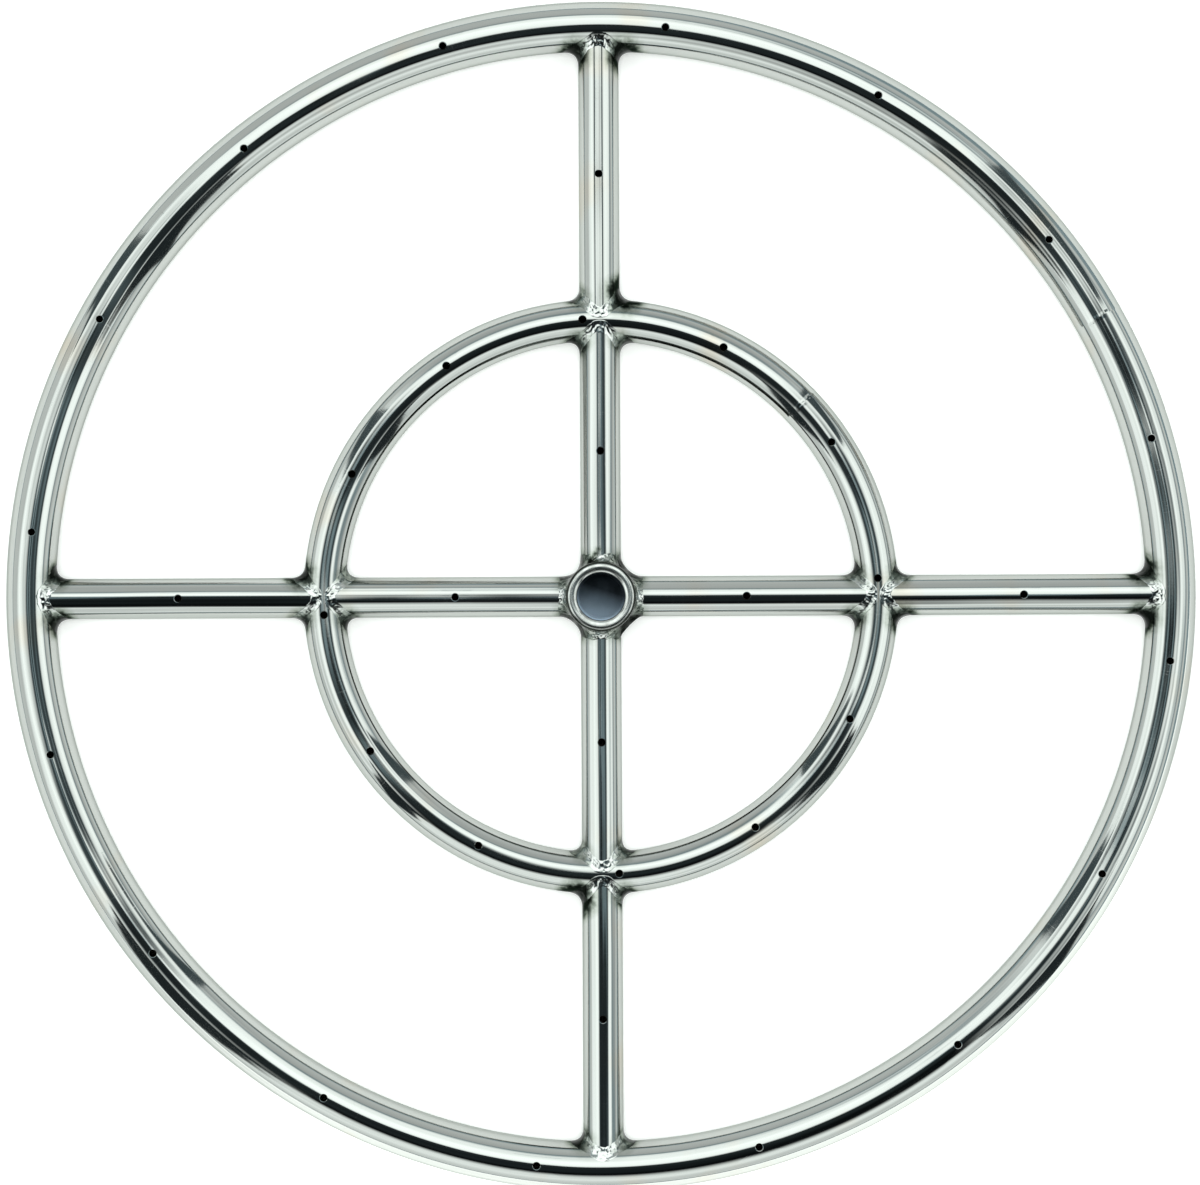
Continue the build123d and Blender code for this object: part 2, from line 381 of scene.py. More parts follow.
filletWeld = {
    "legSide": 5.2 * mm, "legCrown": 2.8 * mm, "crownFull": 0.25, "heel": 0.6 * mm,
    "stations": 320, "across": 26, "softBelow": 40,  # degrees
    "ripple": 1.7 * mm, "rippleHeight": 0.018 * mm, "rippleBow": 0.55, "rippleStray": 0.5, "sideRipple": 0.2,
    "lump": 1.5 * mm, "lumpHeight": 0.22 * mm, "sideLump": 0.1,
    "hollow": 0.8,  # share of the room over the tubes that a hollow may take
    "legVary": 0.24, "legWaves": 2.2, "toeVary": 0.14, "toeRise": 0.05 * mm, "toeFade": 6,
    "crownFade": 1.5, "crownReach": 4,
    "sunk": 0.02 * mm, "deepSunk": 0.12 * mm,
    # scale on the bead, and heat tint with painted shade on the tube beside it from a share of the leg on
    "crownScale": 0.06, "underScale": 0.65, "spokeClean": 0.3,
    "heatShadeReach": 3.4 * mm, "heatShadeStart": 0.8, "heatShadePoints": 72,
    # how far the welds of neighbouring spokes run together in the hub's corners, from right to rear and on
    # round, and from what lean on
    "hubFill": (0.9 * mm, 0.2 * mm, 0.8 * mm, 1.6 * mm), "joinNear": 0.99, "joinFrom": 0.8, "joinOver": 0.15,
    # how dark the scale and its painted shade are in the two corners of each joint, left and right looking
    # out along its spoke
    "scorchAndShade": {
        "hub_weld": {"right": (1.1, 1.1), "rear": (1.1, 1.1), "left": (1.1, 1.1), "front": (1.1, 1.1)},
        "inner_ring_inside_weld":
            {"right": (1.0, 1.1), "rear": (1.1, 0.9), "left": (1.05, 0.7), "front": (0.9, 0.7)},
        "inner_ring_outside_weld":
            {"right": (1.1, 1.6), "rear": (0.95, 2.2), "left": (1.1, 1.6), "front": (1.2, 2.2)},
        "outer_ring_weld":
            {"right": (1.75, 1.75), "rear": (1.7, 2.0), "left": (1.5, 1.3), "front": (0.9, 1.1)},
    },
    # in plan: a dark, sunken gash beside the rear spoke's crown
    "gash": {"from": (-3.9 * mm, 13.7 * mm), "to": (-0.8 * mm, 18.2 * mm), "size": 0.95 * mm,
             "depth": 0.6 * mm},
}


def weldLeg(lean):
    return filletWeld["legCrown"] + (filletWeld["legSide"] - filletWeld["legCrown"]) * sin(lean) ** 2


# points on the roots of the welds, with how far the weld reaches there, how far into the corner, and scorch
# with painted corner shade
weldLine = []
for name, host in hosts.items():
    for spoke, turn in spokeTurns.items():
        for k in range(filletWeld["heatShadePoints"]):
            lean = fullTurn * k / filletWeld["heatShadePoints"]
            side = spokeRadius * sin(lean)
            height = spokeRadius * cos(lean)
            point = turnedPoint((host["distance"](side, height), side, axisHeight + height), turn)
            scorchAndShade = filletWeld["scorchAndShade"][name][spoke][int(side < 0)]
            weldLine.append((point, weldLeg(lean), abs(sin(lean)) ** host["scaleShadeEdge"], scorchAndShade))
weldTree = kdtree.KDTree(len(weldLine))
for index, spot in enumerate(weldLine):
    weldTree.insert(spot[0], index)
weldTree.balance()


def gashMark(point):
    gash = filletWeld["gash"]
    if point[2] < axisHeight or abs(point[0]) > 2 * hubRadius:
        return 0
    start, end = Vector(gash["from"]), Vector(gash["to"])
    share = geometry.intersect_point_line(point[:2], start, end)[1]
    astray = (Vector(point[:2]) - start.lerp(end, min(max(share, 0), 1))).length
    return exp(-(astray / gash["size"]) ** 2)


# heat tint on the tube beside the welds, darkened in the joint corners as painted shade
def weldHeatAndShade(point):
    where, index, distance = weldTree.find(point)
    leg, corner, scorchAndShade = weldLine[index][1:]
    fade = 1 - max(distance - filletWeld["heatShadeStart"] * leg, 0) / (filletWeld["heatShadeReach"] * scorchAndShade)
    return max(max(fade, 0) * corner * scorchAndShade, gashMark(point))


# mesh making

def newShape():
    return {"points": [], "normals": [], "faces": [], "corners": [], "slots": [], "scales": []}


def addPoint(shape, point, normal=(0, 0, 1), scale=0.0):
    shape["points"].append(tuple(point))
    shape["normals"].append(tuple(normal))
    shape["scales"].append(scale)
    return len(shape["points"]) - 1


def addFace(shape, face, slot=0, corners=None):
    shape["faces"].append(face)
    shape["slots"].append(slot)
    shape["corners"].extend(corners or [shape["normals"][i] for i in face])


def skinRows(shape, rows, order=(0, 1, 2, 3), slotOf=None):
    # closed skin over rings of points, the last joined on to the first; order turns the faces outward
    count = len(rows[0])
    for k, row in enumerate(rows):
        ahead = rows[(k + 1) % len(rows)]
        for q in range(count):
            far = (q + 1) % count
            face = (row[q], row[far], ahead[far], ahead[q])
            addFace(shape, [face[i] for i in order], slotOf(k) if slotOf else 0)


def sharpenEdges(mesh, softBelow):
    work = bmesh.new()
    work.from_mesh(mesh)
    for edge in work.edges:
        edge.smooth = len(edge.link_faces) == 2 and edge.calc_face_angle(0) < radians(softBelow)
    work.to_mesh(mesh)
    work.free()


def addObject(name, data):
    thing = bpy.data.objects.new(name, data)
    bpy.context.scene.collection.objects.link(thing)
    return thing


def makePiece(shape, name, materials, node, softBelow=0):
    # softBelow is the angle under which edges are smooth; without it the points' own normals are used
    mesh = bpy.data.meshes.new(name)
    mesh.from_pydata(shape["points"], [], shape["faces"])
    mesh.polygons.foreach_set("material_index", shape["slots"])
    mesh.shade_smooth()
    if softBelow:
        sharpenEdges(mesh, softBelow)
    else:
        mesh.normals_split_custom_set(shape["corners"])
    if max(shape["scales"]) > 0:  # how much weld scale was left on a bead
        mesh.attributes.new("weldScaleAndShade", "FLOAT", "POINT").data.foreach_set("value", shape["scales"])
    for material in materials:
        mesh.materials.append(material)
    piece = addObject(name, mesh)
    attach(piece, "root")
    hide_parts(node)
    return piece


def addTubeData(piece, coordOf, lapLength=0, starts=None):
    # a ring's pattern begins and ends at its seam, so each face takes the lap of its middle, or its start
    mesh = piece.data
    points = [coordOf(v.co) for v in mesh.vertices]
    coords = []
    for face in mesh.polygons:
        start = starts[face.index] if starts else coordOf(face.center)[0]
        for i in face.vertices:
            along, side, height = points[i]
            if lapLength:
                along += lapLength * round((start - along) / lapLength)
            coords.append((along, side, height))
    tubeCoord = mesh.attributes.new("tubeCoord", "FLOAT_VECTOR", "CORNER")
    tubeCoord.data.foreach_set("vector", np.array(coords).ravel())
    heatShadeValues = [weldHeatAndShade(v.co) for v in mesh.vertices]
    mesh.attributes.new("weldHeatAndShade", "FLOAT", "POINT").data.foreach_set("value", heatShadeValues)


tubeStock = {
    "wall": 1.2 * mm, "around": 64,
    "portRadius": 1.4 * mm, "portEdge": 0.2 * mm, "portCells": (4, 4), "portCollar": 1.96 * mm,
    "portPoints": 48,
}


def shareRound(shape, loop, centre):
    # the loop's points, each with its share of the way round the centre, and the first again at the end
    places = [shape["points"][i] for i in loop]
    bearings = [atan2(y - centre[1], x - centre[0]) for x, y, z in places]
    way = 1 if sin(bearings[1] - bearings[0]) > 0 else -1
    shares = [(way * (bearing - bearings[0])) % fullTurn / fullTurn for bearing in bearings]
    return way, bearings[0], list(zip(loop, shares)) + [(loop[0], 1)]


def zipLoops(shape, upper, lower, slot):
    i = j = 0
    while i < len(upper) - 1 or j < len(lower) - 1:
        if j == len(lower) - 1 or (i < len(upper) - 1 and upper[i + 1][1] <= lower[j + 1][1]):
            addFace(shape, (upper[i][0], upper[i + 1][0], lower[j][0]), slot)
            i += 1
        else:
            addFace(shape, (upper[i][0], lower[j + 1][0], lower[j][0]), slot)
            j += 1


def pipeWall(shape, rowCount, closed, place, onCrown, ports):
    # outside and bore of a tube, joined by its drilled ports; place gives a point and its normal on row i at
    # an angle round the tube, onCrown the same over a point of the plan, and ports are (row, x, y)
    around = tubeStock["around"]
    crown = around // 4
    cellsAlong, cellsAround = tubeStock["portCells"]
    skipped = set()
    for row, x, y in ports:
        for i in range(row - cellsAlong, row + cellsAlong):
            for j in range(crown - cellsAround, crown + cellsAround):
                skipped.add((i % rowCount if closed else i, j))
    grids = []
    for inside in (False, True):
        grid = []
        for i in range(rowCount):
            grid.append([addPoint(shape, *place(i, fullTurn * j / around, inside)) for j in range(around)])
        grids.append(grid)
        for i in range(rowCount if closed else rowCount - 1):
            ahead = grid[(i + 1) % rowCount]
            for j in range(around):
                if (i, j) in skipped:
                    continue
                far = (j + 1) % around
                face = (grid[i][j], ahead[j], ahead[far], grid[i][far])
                addFace(shape, face[::-1] if inside else face, int(inside))
    if not closed:
        for i, flip in ((0, 1), (rowCount - 1, -1)):
            for j in range(around):
                far = (j + 1) % around
                face = (grids[0][i][j], grids[0][i][far], grids[1][i][far], grids[1][i][j])
                addFace(shape, face[::flip], 1)

    radius, edge, count = tubeStock["portRadius"], tubeStock["portEdge"], tubeStock["portPoints"]
    lean = 0.7  # of the edge's normals, out of the port and up
    for row, x, y in ports:
        rim = [(row + i, crown - cellsAround) for i in range(-cellsAlong, cellsAlong)]
        rim += [(row + cellsAlong, crown + j) for j in range(-cellsAround, cellsAround)]
        rim += [(row - i, crown + cellsAround) for i in range(-cellsAlong, cellsAlong)]
        rim += [(row - cellsAlong, crown - j) for j in range(-cellsAround, cellsAround)]
        outside, bore = ([grid[i % rowCount][j] for i, j in rim] for grid in grids)

        def ringOf(ways, reach, drop, inside):
            loop = []
            for way in ways:
                point, normal = onCrown(x + reach * way.x, y + reach * way.y, inside)
                loop.append(addPoint(shape, (point[0], point[1], point[2] - drop), normal))
            return loop

        rimWays = [(Vector(shape["points"][i][:2]) - Vector((x, y))).normalized() for i in outside]
        collar = ringOf(rimWays, tubeStock["portCollar"], 0, False)
        way, first, collarShares = shareRound(shape, collar, (x, y))
        turns = [first + way * fullTurn * k / count for k in range(count)]
        ways = [Vector((cos(turn), sin(turn))) for turn in turns]
        lip = ringOf(ways, radius + edge, 0, False)
        edgeFoot = ringOf(ways, radius, edge, False)
        wallFoot = ringOf(ways, radius, 0, True)
        for k in range(len(rim)):
            far = (k + 1) % len(rim)
            addFace(shape, (outside[k], outside[far], collar[far], collar[k]))
        zipLoops(shape, collarShares, [(i, k / count) for k, i in enumerate(lip)] + [(lip[0], 1)], 0)
        for k in range(count):
            far = (k + 1) % count
            slope = [(-lean * ways[q].x, -lean * ways[q].y, lean) for q in (k, far, far, k)]
            addFace(shape, (lip[k], lip[far], edgeFoot[far], edgeFoot[k]), 0, slope)
            drilled = [(-ways[q].x, -ways[q].y, 0) for q in (k, far, far, k)]
            addFace(shape, (edgeFoot[k], edgeFoot[far], wallFoot[far], wallFoot[k]), 1, drilled)
        zipLoops(shape, [(i, k / count) for k, i in enumerate(wallFoot)] + [(wallFoot[0], 1)],
                 shareRound(shape, bore, (x, y))[2], 1)


# rings: rolled tube with ports along the crown; angles are in degrees

ringPieces = {
    "outer_ring": {"ring": outerRingRadius, "tube": outerTubeRadius, "rows": 576, "ports": 16,
                   "firstPort": 83.26, "seam": 29.0, "seamRise": 0.022 * mm},
    "inner_ring": {"ring": innerRingRadius, "tube": innerTubeRadius, "rows": 384, "ports": 12,
                   "firstPort": 93.53, "seam": 43.5, "seamRise": 0.036 * mm},
}


def ringPlaces(look):
    ring, tube = look["ring"], look["tube"]
    first = radians(look["firstPort"])

    def place(row, angle, inside):
        turn = first + fullTurn * row / look["rows"]
        normal = roundPoint(cos(angle), turn, sin(angle))
        radius = tube - tubeStock["wall"] if inside else tube
        point = roundPoint(ring + radius * cos(angle), turn, axisHeight + radius * sin(angle))
        return point, [-v for v in normal] if inside else normal

    def onCrown(x, y, inside):
        radius = tube - tubeStock["wall"] if inside else tube
        reach = hypot(x, y)
        out = reach - ring
        up = sqrt(radius ** 2 - out ** 2)
        normal = (out / radius * x / reach, out / radius * y / reach, up / radius)
        return (x, y, axisHeight + up), [-v for v in normal] if inside else normal

    def coordOf(point):
        turn = (atan2(point[1], point[0]) - radians(look["seam"])) % fullTurn
        return turn * ring, hypot(point[0], point[1]) - ring, point[2] - axisHeight

    return place, onCrown, coordOf


for name, look in ringPieces.items():
    place, onCrown, coordOf = ringPlaces(look)
    ports = []
    for k in range(look["ports"]):
        turn = radians(look["firstPort"]) + fullTurn * k / look["ports"]
        row = k * look["rows"] // look["ports"]
        ports.append((row, *roundPoint(look["ring"], turn, 0)[:2]))
    shape = newShape()
    pipeWall(shape, look["rows"], True, place, onCrown, ports)
    piece = makePiece(shape, name + "_tube", [tubeSteel, boreSteel], name)
    addTubeData(piece, coordOf, fullTurn * look["ring"])
    print(name, "made with", look["ports"], "ports")


# spokes: straight tube, saddle-cut at both ends, one port each

spokePieces = {
    "inner_spoke": {"near": "hub_weld", "far": "inner_ring_inside_weld", "cells": 56},
    "outer_spoke": {"near": "inner_ring_outside_weld", "far": "outer_ring_weld", "cells": 60},
}


def spokePlaces(look, turn, shift):
    near, far = hosts[look["near"]]["distance"], hosts[look["far"]]["distance"]
    crownStart, crownEnd = near(0, spokeRadius), far(0, spokeRadius)
    port = (near(0, 0) + far(0, 0)) / 2
    share = (port - crownStart) / (crownEnd - crownStart)
    before = round(share * look["cells"])
    steps = [share * k / before for k in range(before)]
    after = look["cells"] - before
    steps += [share + (1 - share) * k / after for k in range(after + 1)]

    def place(row, angle, inside):
        radius = spokeRadius - tubeStock["wall"] if inside else spokeRadius
        side, height = -radius * cos(angle), radius * sin(angle)
        start, end = near(side, height), far(side, height)
        point = (start + (end - start) * steps[row], side, axisHeight + height)
        normal = turnedPoint((0, -cos(angle), sin(angle)), turn)
        return turnedPoint(point, turn), [-v for v in normal] if inside else normal

    def onCrown(x, y, inside):
        radius = spokeRadius - tubeStock["wall"] if inside else spokeRadius
        side = turnedPoint((x, y, 0), -turn)[1]
        up = sqrt(radius ** 2 - side ** 2)
        normal = turnedPoint((0, side / radius, up / radius), turn)
        return (x, y, axisHeight + up), [-v for v in normal] if inside else normal

    def coordOf(point):
        along, side, height = turnedPoint(point, -turn)
        return along + shift, side, height - axisHeight

    return len(steps), (before, *turnedPoint((port, 0, 0), turn)[:2]), place, onCrown, coordOf


for number, (name, look) in enumerate(spokePieces.items()):
    for side, turn in spokeTurns.items():
        shift = 2 + 0.5 * number + turn / 90  # each spoke gets its own stretch of the surface pattern
        rowCount, port, place, onCrown, coordOf = spokePlaces(look, turn, shift)
        shape = newShape()
        pipeWall(shape, rowCount, False, place, onCrown, [port])
        piece = makePiece(shape, f"{name}_tube_{side}", [tubeSteel, boreSteel],
                          f"{name}_{side}")
        addTubeData(piece, coordOf)
print("spokes made")


# fillet welds round the spokes

toeHalvings = 22
startSteps = [0.02 * k for k in range(48)]
startHalvings = 10


def weldCorners(host, turn, lean, legScale):
    # the weld in a plane through the spoke's axis, turned by lean: along the spoke, and out from its axis
    look = filletWeld
    slope, rise = sin(lean), cos(lean)
    leg = weldLeg(lean) * legScale
    root = host["distance"](spokeRadius * slope, spokeRadius * rise)
    toe = (root, spokeRadius)
    step = leg
    for halving in range(toeHalvings):
        step = step / 2
        out = toe[1] + step
        if host["carries"](out * slope, out * rise):
            along = host["distance"](out * slope, out * rise)
            if hypot(along - root, out - spokeRadius) < leg:
                toe = (along, out)
    spokeToe = (root - host["side"] * leg, spokeRadius)
    full = look["crownFull"] * rise ** 4  # hollow and running out smooth, fuller over the crown
    middle = (toe[0] + spokeToe[0]) / 2
    pull = (root + full * (middle - root), spokeRadius + full * (toe[1] - spokeRadius) / 2)
    if host["side"] < 0 and host["corner"] and toe[1] * abs(slope) > look["joinNear"] * host["corner"]:
        # run together with the next spoke's weld: out from the hub on the diagonal, and square to it
        joined = min(max((abs(slope) - look["joinFrom"]) / look["joinOver"], 0), 1)
        fill = look["hubFill"][(turn // 90 - (slope < 0)) % 4] * joined
        toe = (toe[0] + fill, toe[1] + fill / abs(slope))
        square = (toe[0] + toe[1] * abs(slope) - spokeRadius * abs(slope), spokeRadius)
        pull = tuple(a + joined * (b - a) for a, b in zip(pull, square))
    heel = (root + host["side"] * look["heel"], spokeRadius - look["heel"])
    return [Vector(v) for v in (toe, pull, spokeToe, heel)]


def weldBead(host, turn, seed, scorchAndShade):
    # the seed gives each bead its own stretch of the noise
    look = filletWeld
    shape = newShape()
    rows = []
    reach = spokeRadius + look["legCrown"] / 2
    rippleCount = round(fullTurn * reach / look["ripple"])
    for k in range(look["stations"]):
        lean = fullTurn * k / look["stations"]
        slope, rise = sin(lean), cos(lean)
        crown = abs(rise) ** look["crownFade"]
        around = Vector((rise, slope, 0))
        spot = around * look["legWaves"] + Vector((seed * 7.3, seed * 3.1, 0))
        lumpSpot = around * reach / look["lump"]
        vary = look["legVary"] * noise.noise(spot)
        vary += look["toeVary"] * noise.noise(lumpSpot + Vector((0, 0, seed * 2.9))) * crown
        toe, pull, spokeToe, heel = weldCorners(host, turn, lean, 1 + vary)
        inward = (heel - (toe + 2 * pull + spokeToe) / 4).normalized()
        length = (toe - pull).length + (spokeToe - pull).length

        def bend(t):
            flat = (1 - t) ** 2 * toe + 2 * t * (1 - t) * pull + t * t * spokeToe
            return flat, flat.y * slope, flat.y * rise

        def clearance(t):
            flat, side, height = bend(t)
            return host["clear"](flat.x, side, height)

        # the bead starts where it comes up out of the hub's or the ring's surface
        begin = max((t for t in startSteps if clearance(t) < 0), default=0)
        if begin > 0:
            step = startSteps[1] - startSteps[0]
            for halving in range(startHalvings):
                step = step / 2
                if clearance(begin + step) < 0:
                    begin += step
        begin *= 1 - max(rise, 0) ** look["crownReach"]  # over the crown it runs on as a thin skin
        section = []
        gashes = []
        for q in range(look["across"] + 1):
            across = q / look["across"]
            t = begin + (1 - begin) * across
            flat, side, height = bend(t)
            way = 2 * (1 - t) * (pull - toe) + 2 * t * (spokeToe - pull)
            out = Vector((way.y, -way.x)).normalized()
            if out.dot(inward) > 0:
                out = -out
            edge = 1 - (2 * across - 1) ** look["toeFade"]
            phase = rippleCount * k / look["stations"] + look["rippleBow"] * (1 - (2 * across - 1) ** 2)
            phase += look["rippleStray"] * noise.noise(spot * 3)
            lump = noise.noise(lumpSpot + Vector((0, 0, seed * 5.7 + t * length / look["lump"])))
            lift = look["rippleHeight"] * sin(fullTurn * phase)
            lift *= look["sideRipple"] + (1 - look["sideRipple"]) * crown
            lift += look["lumpHeight"] * lump * (look["sideLump"] + (1 - look["sideLump"]) * crown)
            room = max(min(clearance(t), flat.y - spokeRadius), 0)  # hollows stop short of the tubes
            gashes.append(gashMark(turnedPoint((flat.x, side, axisHeight + height), turn)))
            lift = max(lift, -look["hollow"] * room) + look["toeRise"] - look["gash"]["depth"] * gashes[-1]
            section.append(flat + out * (lift * edge + max(-clearance(t), 0)))
        start = bend(begin)[0]
        section[0] = start + inward * look["sunk"]
        section[-1] = spokeToe + inward * look["sunk"]
        section += [spokeToe + inward * look["deepSunk"], heel, start + inward * look["deepSunk"]]
        gashes += [0, 0, 0]
        points = []
        for q, flat in enumerate(section):
            point = (flat.x, flat.y * slope, axisHeight + flat.y * rise)
            spokeShare = min(q / look["across"], 1)
            # the bead's sides in the corners are darkened as painted shade as well as scale
            scale = (1 - look["spokeClean"] * spokeShare ** 2) * abs(slope) ** host["scaleShadeEdge"]
            scale = look["crownScale"] + scale * scorchAndShade[int(slope < 0)] + gashes[q]
            if rise < 0:  # the underside is not buffed
                scale = max(scale, look["underScale"])
            points.append(addPoint(shape, turnedPoint(point, turn), scale=min(scale, 1)))
        rows.append(points)
    skinRows(shape, rows, (3, 2, 1, 0) if host["side"] > 0 else (0, 1, 2, 3))
    return shape


for number, (name, host) in enumerate(hosts.items()):
    for side, turn in spokeTurns.items():
        shape = weldBead(host, turn, 1 + number * 4 + turn / 90, filletWeld["scorchAndShade"][name][side])
        makePiece(shape, f"{name}_bead_{side}", [weldSteel], f"{name}_{side}",
                  filletWeld["softBelow"])
print("fillet welds made")


# butt welds that close the rings, dressed flush and buffed with the tube: a shallow swell and a few pits

seamWeld = {
    "width": 3.0 * mm, "sunk": 0.5 * mm, "overlap": 0.004 * mm, "stations": 180, "across": 20,
    "pit": 1.6 * mm, "pitFrom": 0.25, "pitDepth": 2, "wander": 0.5 * mm, "step": 0.02,
}


def seamLift(look, number, angle, across):
    # swell and pits over the round of the tube, which run out to nothing at the edges
    spot = Vector((angle * look["tube"], across * seamWeld["width"] / 2, 0.02 * number)) / seamWeld["pit"]
    pits = seamWeld["pitDepth"] * min(noise.noise(spot) + seamWeld["pitFrom"], 0)
    return look["seamRise"] * (1 + noise.noise(spot / 4) + pits) * (1 - across ** 2) ** 2


def seamNormal(look, number, angle, across, turn):
    step = seamWeld["step"]
    up = Vector(roundPoint(cos(angle), turn, sin(angle)))
    about = Vector(roundPoint(-sin(angle), turn, cos(angle)))
    along = Vector((-sin(turn), cos(turn), 0))
    lift = seamLift(look, number, angle, across)
    aboutSlope = (seamLift(look, number, angle + step, across) - lift) / (step * look["tube"])
    alongSlope = (seamLift(look, number, angle, across + step) - lift) / (step * seamWeld["width"] / 2)
    return (up - aboutSlope * about - alongSlope * along).normalized()


for number, (name, look) in enumerate(ringPieces.items()):
    coordOf = ringPlaces(look)[2]
    shape = newShape()
    rows = []
    for k in range(seamWeld["stations"]):
        angle = fullTurn * k / seamWeld["stations"]
        spot = Vector((2 * cos(angle), 2 * sin(angle), 3.3 + 5 * number))
        drift = seamWeld["wander"] * noise.noise(spot)
        row = []
        for q in range(seamWeld["across"] + 3):
            across = min(2 * q / seamWeld["across"] - 1, 1)
            lift = seamLift(look, number, angle, across) + seamWeld["overlap"] * (1 - 2 * across ** 4)
            if q > seamWeld["across"]:
                lift = -seamWeld["sunk"]
                across = 1 if q == seamWeld["across"] + 1 else -1
            turn = radians(look["seam"]) + (across * seamWeld["width"] / 2 + drift) / look["ring"]
            reach = look["ring"] + (look["tube"] + lift) * cos(angle)
            height = axisHeight + (look["tube"] + lift) * sin(angle)
            point = roundPoint(reach, turn, max(height, outerLow.z))
            row.append(addPoint(shape, point, seamNormal(look, number, angle, across, turn)))
        rows.append(row)
    skinRows(shape, rows)
    lap = fullTurn * look["ring"]
    starts = [lap if q < seamWeld["across"] / 2 else 0 for row in rows for q in range(len(row))]
    piece = makePiece(shape, name + "_seam_bead", [tubeSteel], name + "_seam_weld")
    addTubeData(piece, coordOf, lap, starts)
print("seam welds made")


# hub: turned coupling, threaded from the top, cross-drilled for the spokes

hubPiece = {
    "boreRadius": 9.15 * mm, "rimWidth": 1.95 * mm, "rimDepth": 1.5 * mm, "inletWidth": 2.2 * mm,
    "inletDepth": 1.0 * mm, "edgeSteps": 12, "footEdge": 0.4 * mm, "edge": 0.12 * mm,
    "pitch": 1.814 * mm, "threadDepth": 1.1 * mm, "threadFoot": 15.025 * mm, "threadRows": 110,
    "grooveWidth": 0.8, "grooveFlat": 0.75,  # shares of the pitch and of the depth
    "ledge": 0.05 * mm, "wallRows": 8, "feedHole": 5.0 * mm, "drillSides": 48, "softBelow": 32,
    "around": 160, "offset": 0.37,  # part of a column, which keeps the columns off the edges of the drills
}


def hubProfile():
    look = hubPiece
    bottom, top = hubLow.z, hubHigh.z
    points = [(chamberRadius, bottom + look["edge"]), (chamberRadius + look["edge"], bottom),
              (hubRadius - look["footEdge"], bottom), (hubRadius, bottom + look["footEdge"])]
    # the rim is rounded off outside, and dished inside where it leads into the thread
    angles = [pi / 2 * k / look["edgeSteps"] for k in range(look["edgeSteps"] + 1)]
    for angle in angles:
        points.append((hubRadius - look["rimWidth"] * (1 - cos(angle)),
                       top - look["rimDepth"] * (1 - sin(angle))))
    for angle in angles[:-1]:
        points.append((look["boreRadius"] + look["inletWidth"] * (1 - sin(angle)),
                       top - look["inletDepth"] * (1 - cos(angle))))
    return points


def hubMesh():
    look = hubPiece
    shape = newShape()
    profile = hubProfile()
    grid = [[place] * look["around"] for place in profile]
    start, foot = hubHigh.z - look["inletDepth"], look["threadFoot"]
    for k in range(look["threadRows"] + 1):
        height = start + (foot - start) * k / look["threadRows"]
        ring = []
        for j in range(look["around"]):
            phase = height / look["pitch"] - j / look["around"]
            phase -= floor(phase)
            groove = max(0, 1 - abs(2 * phase - 1) / look["grooveWidth"]) * look["threadDepth"]
            groove *= min(max((height - foot) / look["pitch"], 0), 1)  # runs in and out over a pitch
            groove *= min((start - height) / look["pitch"], 1)
            ring.append((look["boreRadius"] + min(groove, look["grooveFlat"] * look["threadDepth"]), height))
        grid.append(ring)
    grid.append([(chamberRadius, foot - look["ledge"])] * look["around"])
    for k in range(1, look["wallRows"]):
        grid.append([(chamberRadius, foot + (hubLow.z - foot) * k / look["wallRows"])] * look["around"])
    rows = []
    for ring in grid:
        row = []
        for j, (radius, height) in enumerate(ring):
            turn = fullTurn * (j + look["offset"]) / look["around"]
            row.append(addPoint(shape, roundPoint(radius, turn, height)))
        rows.append(row)
    ledgeRow = len(profile) + look["threadRows"]
    skinRows(shape, rows, slotOf=lambda i: 2 if i == ledgeRow else int(i >= len(profile)))
    return shape


hubShape = makePiece(hubMesh(), "hub_coupling", [turnedSteel, threadShadeSteel, plugSteel], "hub",
                     hubPiece["softBelow"])
drillMesh = bpy.data.meshes.new("feed_drills")
work = bmesh.new()
for turn in (0, 90):
    made = bmesh.ops.create_cone(work, cap_ends=True, segments=hubPiece["drillSides"], depth=4 * hubRadius,
                                 radius1=hubPiece["feedHole"], radius2=hubPiece["feedHole"])
    for vertex in made["verts"]:
        x, y, z = vertex.co
        vertex.co = turnedPoint((z, y, axisHeight + x), turn)
bmesh.ops.recalc_face_normals(work, faces=work.faces)
for face in work.faces:
    face.material_index = 1
work.to_mesh(drillMesh)
for material in (turnedSteel, threadShadeSteel):
    drillMesh.materials.append(material)
work.free()
drill = addObject("feed_drills", drillMesh)
cut = hubShape.modifiers.new("feed_holes", "BOOLEAN")
cut.operation = "DIFFERENCE"
cut.object = drill
cut.solver = "EXACT"
cut.use_self = True
graph = bpy.context.evaluated_depsgraph_get()
drilled = bpy.data.meshes.new_from_object(hubShape.evaluated_get(graph))
hubShape.modifiers.clear()
hubShape.data = drilled
bpy.data.objects.remove(drill)
sharpenEdges(drilled, hubPiece["softBelow"])
print("hub made with", len(drilled.polygons), "faces")


# plug disc keeps its solid; its weld is a rippled bead under the hub

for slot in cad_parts["hub_end_plug"].material_slots:
    slot.material = plugSteel

